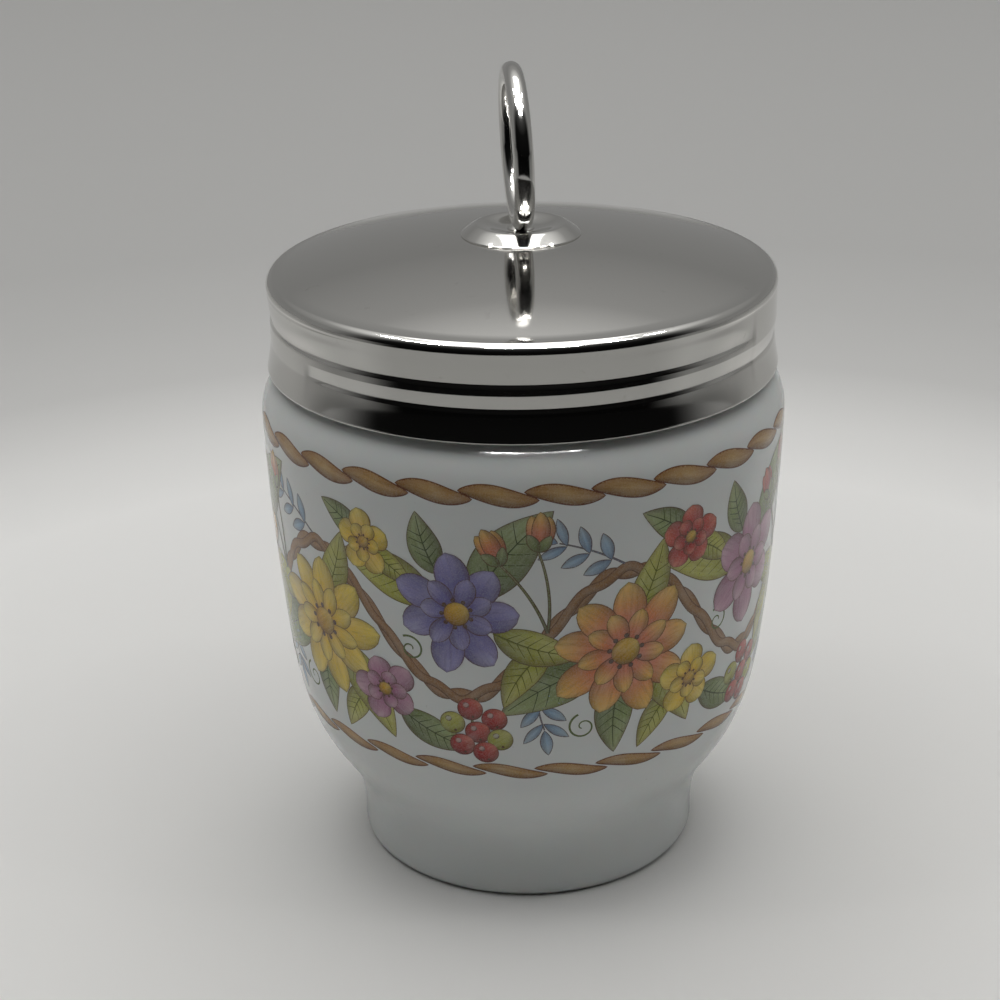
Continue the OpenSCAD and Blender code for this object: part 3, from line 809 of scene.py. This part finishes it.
def bud(art, x, z, size, tilt, inks, layer):
    """A closed flower bud: three petals above two green sepals."""
    for turn, reach in BUD_PETALS:
        spine, half = petal(size * reach, size * BUD_WIDTH, tilt + turn, BUD_SHAPE)
        art.blade(place(x), z, spine, half, inks, INK_LINE, layer + (turn == 0), shade=0.3, across=7)
    for turn in SEPAL_TILTS:
        length, width = (size * share for share in SEPAL_SIZE)
        spine, half = petal(length, width, tilt + turn, SEPAL_SHAPE)
        art.blade(place(x), z, spine, half, LEAF_GREEN, INK_LINE, layer + 2, shade=0.3, across=7)


def stem(art, start, end, sag, width, layer, inks=LEAF_GREEN):
    """A thin stalk from one place to another, bowed sideways by sag."""
    a, d = np.zeros(2), np.subtract(end, start)
    bow = sag * np.array([d[1], -d[0]])
    run = cubic(a, a + d / 3 + bow, a + d * 2 / 3 + bow, d, STEM_ROWS)
    half = np.linspace(width / 2, width / 3, STEM_ROWS)
    art.blade(place(start[0]), start[1], run, half, inks, INK_LINE, layer, shade=0.2, across=5)


def sprig(art, x, z, length, tilt, inks, layer):
    """A small twig with pairs of leaves and one at its end."""
    ahead = turned(np.array([[0.0, length]]), -tilt)[0]
    stem(art, (x, z), (x + ahead[0], z + ahead[1]), 0.06, 0.32, layer, inks)
    leaves = [((k + 0.6) / SPRIG_PAIRS, side) for k in range(SPRIG_PAIRS) for side in (-1, 1)]
    for share, side in leaves + [(1.0, 0)]:
        spine, half = lens(SPRIG_LEAF, SPRIG_LEAF * 0.42, 0, 15, 0.8)
        spine = turned(spine + [SPRIG_LEAF / 2, 0], 90 - tilt - side * SPRIG_SPREAD)
        at = ahead * share
        slim = 1.1 - 0.3 * share if side else 1.0
        art.blade(place(x + at[0]), z + at[1], spine, half * slim, inks, INK_LINE,
                  layer + (1 if side else 2), shade=0.3, across=7)


def tendril(art, x, z, size, tilt, hand, layer):
    """A thin curl that winds in on itself."""
    t = np.linspace(0, 1, TENDRIL_ROWS)
    a = hand * 2 * math.pi * TENDRIL_TURNS * t
    r = size * (1 - TENDRIL_WIND * t)
    run = np.c_[hand * (size - r * np.cos(a)), r * np.sin(np.abs(a))]
    run = run - run[0]
    half = np.linspace(*TENDRIL_HALF, TENDRIL_ROWS)
    art.blade(place(x), z, turned(run, -tilt), half, (LEAF_GREEN[0],) * 2, LEAF_GREEN[0], layer,
              shade=0.0, across=3)


SPRAY_Z, SPRAY_SWING, SPRAY_REPEATS = 46.0, 9.0, 5
SPRAY_FIRST = 3.0  # degrees from the front to the first repeat
SPRAY_R = radius_at(SPRAY_Z)
REPEAT = 2 * math.pi * SPRAY_R / SPRAY_REPEATS  # width of a repeat in mm
VINE_ROWS, VINE_SPREAD, VINE_TWISTS = 520, 0.55, 7  # a strand's rows, its swing and turns in a repeat


def place(x):
    """Angle on the cup of a distance in mm along the spray."""
    return SPRAY_FIRST + math.degrees(x / SPRAY_R)


def vine(art, phase, width, layer):
    """One woody strand that swings up and down all round the cup."""
    x = np.linspace(0, 2 * math.pi * SPRAY_R, VINE_ROWS)
    swing = SPRAY_SWING * np.sin(2 * math.pi * x / REPEAT)
    twist = VINE_SPREAD * np.sin(2 * math.pi * x / REPEAT * VINE_TWISTS + phase)
    art.blade(SPRAY_FIRST, SPRAY_Z, np.c_[x, swing + twist], np.full(VINE_ROWS, width / 2), WOOD,
              INK_LINE, layer, shade=0.3, across=7)


# One colour for each repeat
WARM = (PEACH, YELLOW, PEACH, PLUM, YELLOW)
COOL = (MAUVE, PLUM, YELLOW, PEACH, PLUM)
SMALL = (YELLOW, RED, PLUM, RED, MAUVE)
BUDS = (PEACH, RED, YELLOW, YELLOW, PEACH)
BERRIES = (RED, PLUM, RED, PLUM, RED)
# x, z, length, width, tilt, inks, layer, bend
LEAVES = (
    (8.5, 42.0, 17.0, 7.6, -122, LEAF_GREEN, 5, 0.06),
    (13.5, 41.5, 16.0, 6.8, 141, LEAF_LIME, 7, -0.06),
    (10.5, 39.0, 11.4, 5.4, 186, LEAF_GREEN, 9, 0.05),
    (12.0, 47.0, 12.5, 5.4, 22, LEAF_LIME, 5, 0.05),
    (30.5, 50.5, 15.5, 6.6, -68, LEAF_LIME, 5, 0.06),
    (35.5, 51.5, 16.8, 7.4, 44, LEAF_GREEN, 7, -0.05),
    (38.0, 47.0, 12.5, 5.2, 104, LEAF_LIME, 9, 0.05),
    (31.0, 55.0, 9.2, 4.8, -18, LEAF_GREEN, 9, -0.05),
    (24.0, 33.5, 11.0, 4.8, 118, LEAF_GREEN, 7, 0.05),
    (19.0, 35.5, 9.5, 4.0, -150, LEAF_LIME, 5, 0.05),
    (20.5, 57.5, 9.0, 4.2, -62, LEAF_GREEN, 7, 0.05),
    (20.5, 57.0, 8.5, 3.8, 118, LEAF_LIME, 7, -0.05),
    (1.0, 45.0, 12.0, 5.0, -150, LEAF_LIME, 7, 0.08))
# x, z, length, tilt, layer
SPRIGS = ((10.5, 56.0, 9.5, -66, 2), (43.5, 40.0, 8.0, 172, 2))
BUD_STEMS = ((-6.0, 11.0, -24), (-1.2, 13.0, 4))  # right, up and the bud's tilt
BUD_ROOT = (0.5, 47.0)
BUD_SIZE, BERRY_SIZE, STALK = 5.6, 3.5, 0.5
# x, z, size, inks and petals for each repeat, turn per repeat, broad, layer
BLOSSOMS = (
    (11.1, 43.0, 20.5, WARM, (9, 8, 9, 8, 9), 11, 1.25, 12),
    (33.3, 49.5, 17.5, COOL, (6, 7, 8, 6, 7), 23, 1.12, 12),
    (21.8, 36.0, 10.5, SMALL, (5,) * 5, 31, 1.15, 16),
    (20.3, 57.6, 9.0, SMALL[1:] + SMALL[:1], (5,) * 5, 17, 1.2, 16))
# x, z, size, tilt, hand, layer
TENDRILS = ((25.5, 45.0, 2.0, 60, 1, 2), (4.7, 34.2, 2.1, 250, -1, 2))
CLUSTER_X, CLUSTER_Z, CLUSTER_UNRIPE = 34.5, 35.2, (2, 4)
CLUSTER_STALK = ((35.5, 37.0), (35.0, 31.5))
CLUSTER = ((0, 0), (3.3, -1.4), (-2.6, -2.4), (0.9, -3.6), (4.0, -4.6), (-1.4, -5.8), (1.9, -6.8))


def draw_repeat(art, i, x0):
    """The leaves, buds, berries and flowers of one repeat that starts at x0."""
    for x, z, length, width, tilt, inks, layer, bend in LEAVES:
        grown = 1 + 0.05 * math.sin(5.0 * x + 2.0 * i)
        leaf(art, x0 + x, z, length * grown, width * grown, tilt + 5 * math.sin(x + 1.7 * i), inks,
             layer, bend)
    for x, z, length, tilt, layer in SPRIGS:
        sprig(art, x0 + x, z, length, tilt, LEAF_BLUE, layer)
    for dx, dz, tilt in BUD_STEMS:
        x, z = x0 + BUD_ROOT[0], BUD_ROOT[1]
        stem(art, (x, z), (x + dx, z - 1.0 + dz), 0.08, STALK, 11)
        bud(art, x + dx, z - 1.2 + dz, BUD_SIZE, tilt, BUDS[i], 12)
    start, end = ((x0 + x, z) for x, z in CLUSTER_STALK)
    stem(art, start, end, 0.12, STALK, 11)
    for k, (dx, dz) in enumerate(CLUSTER[:7 - i % 2]):
        inks = LEAF_LIME if k in CLUSTER_UNRIPE else BERRIES[i]
        berry(art, x0 + CLUSTER_X + dx, CLUSTER_Z + dz, BERRY_SIZE, inks, 12 + 2 * k)
    for x, z, size, inks, petals, turn, broad, layer in BLOSSOMS:
        blossom(art, x0 + x, z, size, inks[i], petals[i], turn * i, broad, layer)
    for x, z, size, tilt, hand, layer in TENDRILS:
        tendril(art, x0 + x, z, size, tilt, hand, layer)


def make_design(material):
    """A generic running spray between the ropes: a wavy twisted vine with flowers and leaves."""
    art = Print()
    vine(art, 0.0, 1.6, 0)
    vine(art, math.pi, 1.4, 1)
    for i in range(SPRAY_REPEATS):
        draw_repeat(art, i, i * REPEAT)
    art.make("print_spray", material)


# ---- studio

# painted reflection: tones the floor shows only to metal and glaze, dimmer at the sides and dark in front
SIDE_NEAR, SIDE_FAR = (0.56, 0.56, 0.55), (0.30, 0.30, 0.295)
FRONT_NEAR, FRONT_FAR = (0.44, 0.44, 0.43), (0.004, 0.004, 0.004)
# painted shade: the floor in front gives less bounce light near the cup and none far out, darkening the
# cup's front and foot
FRONT_BOUNCE = (0.70, 0.70, 0.69)
FRONT_EDGE, SIDE_EDGE = (-0.60, -0.25), (-0.10, 0.55)  # sine of the direction, -1 in front
FAR_EDGE = (0.197, 0.222)  # metres from the axis
PAPER_TINT, PAPER_ROUGHNESS = (1.0, 0.993, 0.975), 0.9
FLOOR_FAR = 0.8  # metres from the axis to the last stop
# painted light: the paper's tone by distance from the axis, brightest in a ring round the cup, darker far
# out
FLOOR_LIGHT_POOL_STOPS = ((0.0, 0.785), (0.06, 0.775), (0.095, 0.81), (0.144, 0.87), (0.177, 0.775), (0.216, 0.61),
               (0.262, 0.555), (0.32, 0.515), (0.45, 0.53), (0.8, 0.58))
FLOOR_RINGS, FLOOR_STEP = (0.0005, 0.05, 0.1, 0.2, 0.4, 0.8, 1.6, 3.0), 5  # metres, degrees


def tone_ramp(nodes, value, stops, tint):
    """A grey that follows the stops of (value, tone), slightly tinted."""
    ramp = nodes.add("ValToRGB", {"Fac": value})
    elements = ramp.color_ramp.elements
    while len(elements) < len(stops):
        elements.new(0.5)
    for element, (position, tone) in zip(elements, stops):
        element.position = position
        element.color = (*(tone * t for t in tint), 1)
    return ramp.outputs["Color"]


def floor_material():
    """Pale paper in a painted pool of light; mirrored and bounced, it is painted dim in front, where the
    dark room begins.
    """
    material, n = new_material("pale_floor")
    spot = n.add("NewGeometry").outputs["Position"]
    flat = n.add("VectorMath", {0: spot, 1: (1, 1, 0)}, operation="MULTIPLY").outputs[0]
    reach = n.add("VectorMath", {0: flat}, operation="LENGTH").outputs["Value"]
    stops = [(distance / FLOOR_FAR, tone) for distance, tone in FLOOR_LIGHT_POOL_STOPS]
    # the paper's tone carries the painted pool of light round the cup
    paper = tone_ramp(n, n.spread(reach, 0.0, FLOOR_FAR), stops, PAPER_TINT)
    share = n.math("DIVIDE", n.add("SeparateXYZ", {"Vector": flat}).outputs["Y"], reach)
    path = n.add("LightPath")
    glossy = path.outputs["Is Glossy Ray"]
    unseen = n.math("SUBTRACT", 1.0, path.outputs["Is Camera Ray"])
    front = n.spread(share, *FRONT_EDGE, 1.0, 0.0, smoothed=True)
    side = n.spread(share, *SIDE_EDGE, 1.0, 0.0, smoothed=True)
    far = n.spread(reach, *FAR_EDGE, smoothed=True)
    mirrored = n.mix(side, paper, n.mix(far, SIDE_NEAR, SIDE_FAR))
    mirrored = n.mix(front, mirrored, n.mix(far, FRONT_NEAR, FRONT_FAR))
    # painted shade: bounce light from the floor in front is dimmed
    painted_dim_bounce = n.mix(front, paper, n.mix(far, FRONT_BOUNCE, FRONT_FAR))
    colour = n.mix(unseen, paper, n.mix(glossy, painted_dim_bounce, mirrored))
    finish_material(n, Base_Color=colour, Roughness=PAPER_ROUGHNESS, Specular_IOR_Level=0.0)
    return material


def make_floor():
    """A wide round floor in rings, with a small disc at the axis."""
    rings = np.array(FLOOR_RINGS)
    a = np.radians(np.arange(0, 360, FLOOR_STEP))
    points = np.stack([rings[:, None] * np.cos(a), rings[:, None] * np.sin(a),
                       np.zeros((len(rings), len(a)))], -1).reshape(-1, 3)
    faces = grid_faces(len(rings), len(a)) + [list(range(len(a)))]
    mesh = bpy.data.meshes.new("floor")
    mesh.from_pydata(points.tolist(), [], faces)
    mesh.materials.append(floor_material())
    floor = new_object("floor", mesh)


SKY_STOPS = ((0.0, 0.25), (0.38, 0.235), (0.64, 0.34), (0.76, 0.62), (0.87, 0.90), (1.0, 1.0))
ROOM_STOPS = ((0.0, 0.003), (0.45, 0.006), (0.76, 0.05), (0.86, 0.30), (0.95, 0.9), (1.0, 1.1))
ROOM_TINT = (1.0, 1.0, 0.985)
ROOM_EDGE = (-0.42, 0.12)  # the room in front fades into the sky between these
WORLD_STRENGTH = 1.0


def make_world():
    """A soft bright ceiling over a grey backdrop, with the dim side of the room in front."""
    world = bpy.data.worlds.new("studio")
    bpy.context.scene.world = world
    world.use_nodes = True
    n = Nodes(world.node_tree)
    ray = n.add("TexCoord").outputs["Generated"]
    parts = n.add("SeparateXYZ", {"Vector": ray})

    sky = tone_ramp(n, parts.outputs["Z"], SKY_STOPS, ROOM_TINT)
    room = tone_ramp(n, parts.outputs["Z"], ROOM_STOPS, ROOM_TINT)
    front = n.spread(parts.outputs["Y"], *ROOM_EDGE, 1.0, 0.0, smoothed=True)
    unseen = n.math("SUBTRACT", 1.0, n.add("LightPath").outputs["Is Camera Ray"])
    colour = n.mix(n.math("MULTIPLY", front, unseen), sky, room)
    background = n.add("Background", {"Color": colour, "Strength": WORLD_STRENGTH})
    n.add("OutputWorld", {"Surface": background.outputs[0]})


TARGET = Vector((0, 0, 0.045))


def area_lamp(name, azimuth, elevation, distance, width, depth, power):
    """A soft rectangular lamp; azimuth from the front, positive to the right."""
    data = bpy.data.lights.new(name, "AREA")
    data.shape = "RECTANGLE"
    data.size, data.size_y, data.energy = width, depth, power
    lamp = new_object(name, data)
    a, e = math.radians(azimuth), math.radians(elevation)
    out = Vector((math.sin(a) * math.cos(e), -math.cos(a) * math.cos(e), math.sin(e)))
    lamp.location = TARGET + out * distance
    lamp.rotation_mode = "QUATERNION"
    lamp.rotation_quaternion = (-out).to_track_quat("-Z", "Y")
    return lamp


GLINT_ELEVATION, GLINT_DISTANCE, GLINT_DEPTH = 60, 0.80, 0.045
# name, azimuth, width, power
GLINTS = (("glint_front", 6.0, 0.40, 10.0), ("glint_left", -62, 0.10, 1.2), ("glint_right", 62, 0.10, 1.2),
          ("glint_far_left", -101, 0.10, 1.2), ("glint_far_right", 101, 0.08, 0.8))
# name, azimuth, elevation, distance, width, depth, power
LAMPS = (("front_soft", 0, 77, 0.95, 0.90, 0.44, 1.9), ("overhead", 180, 76, 0.95, 0.60, 0.50, 1.6),
         ("left_lamp", -75, 58, 0.9, 0.06, 0.05, 0.2), ("right_lamp", 70, 58, 0.9, 0.06, 0.05, 0.2))


def make_lamps():
    """Soft light from above; the glint lamps show only as glints in glaze and metal."""
    for name, azimuth, width, power in GLINTS:
        lamp = area_lamp(name, azimuth, GLINT_ELEVATION, GLINT_DISTANCE, width, GLINT_DEPTH, power)
        lamp.visible_diffuse = False
    for lamp in LAMPS:
        area_lamp(*lamp)


FOCAL_PX, IMAGE_PX = 2136.0, 1000.0
PITCH_DOWN, ROLL = 22.51, -1.0
VIEW_DISTANCE = 308.4
VIEW_CENTRE = np.array([0.0, 0.0, 45.0])
VIEW_SHIFT = (3.58, -5.48)
SENSOR, CLIP = 36.0, (0.01, 20.0)


def make_camera():
    """The photograph's viewpoint, found from the lid's rim, the cup's outline and the foot."""
    e, roll = math.radians(PITCH_DOWN), math.radians(ROLL)
    forward = np.array([0, math.cos(e), -math.sin(e)])
    right, up = np.array([1.0, 0, 0]), np.array([0, math.sin(e), math.cos(e)])
    side = right * math.cos(roll) + up * math.sin(roll)
    top = -right * math.sin(roll) + up * math.cos(roll)
    spot = VIEW_CENTRE - VIEW_SHIFT[0] * side - VIEW_SHIFT[1] * top - VIEW_DISTANCE * forward
    data = bpy.data.cameras.new("camera")
    data.sensor_width = SENSOR
    data.lens = SENSOR * FOCAL_PX / IMAGE_PX
    data.clip_start, data.clip_end = CLIP
    camera = new_object("camera", data)
    axes = np.eye(4)
    axes[:3, 0], axes[:3, 1], axes[:3, 2], axes[:3, 3] = side, top, -forward, spot * MM
    camera.matrix_world = Matrix(axes.tolist())
    bpy.context.scene.camera = camera


# ---- build

# name, hairs across and up, haze
LID_CHROME = ("lid_chrome", 420, 420, 0.055)
ROSETTE_CHROME = ("rosette_chrome", 600, 600, 0.06)
RING_CHROME = ("ring_chrome", 900, 200, 0.05)


def main():
    porcelain = porcelain_material()
    printed = print_material()
    make_cup(porcelain)
    make_lid(chrome_material(*LID_CHROME))
    make_rosette(chrome_material(*ROSETTE_CHROME))
    make_ring(chrome_material(*RING_CHROME))
    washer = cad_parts["backing_washer"]
    washer.data.materials.clear()
    washer.data.materials.append(steel_material())
    for rope in ROPES:
        make_rope(*rope, printed)
    make_design(printed)
    make_floor()
    make_world()
    make_lamps()
    make_camera()
    bpy.context.scene.view_settings.view_transform = "Standard"


main()
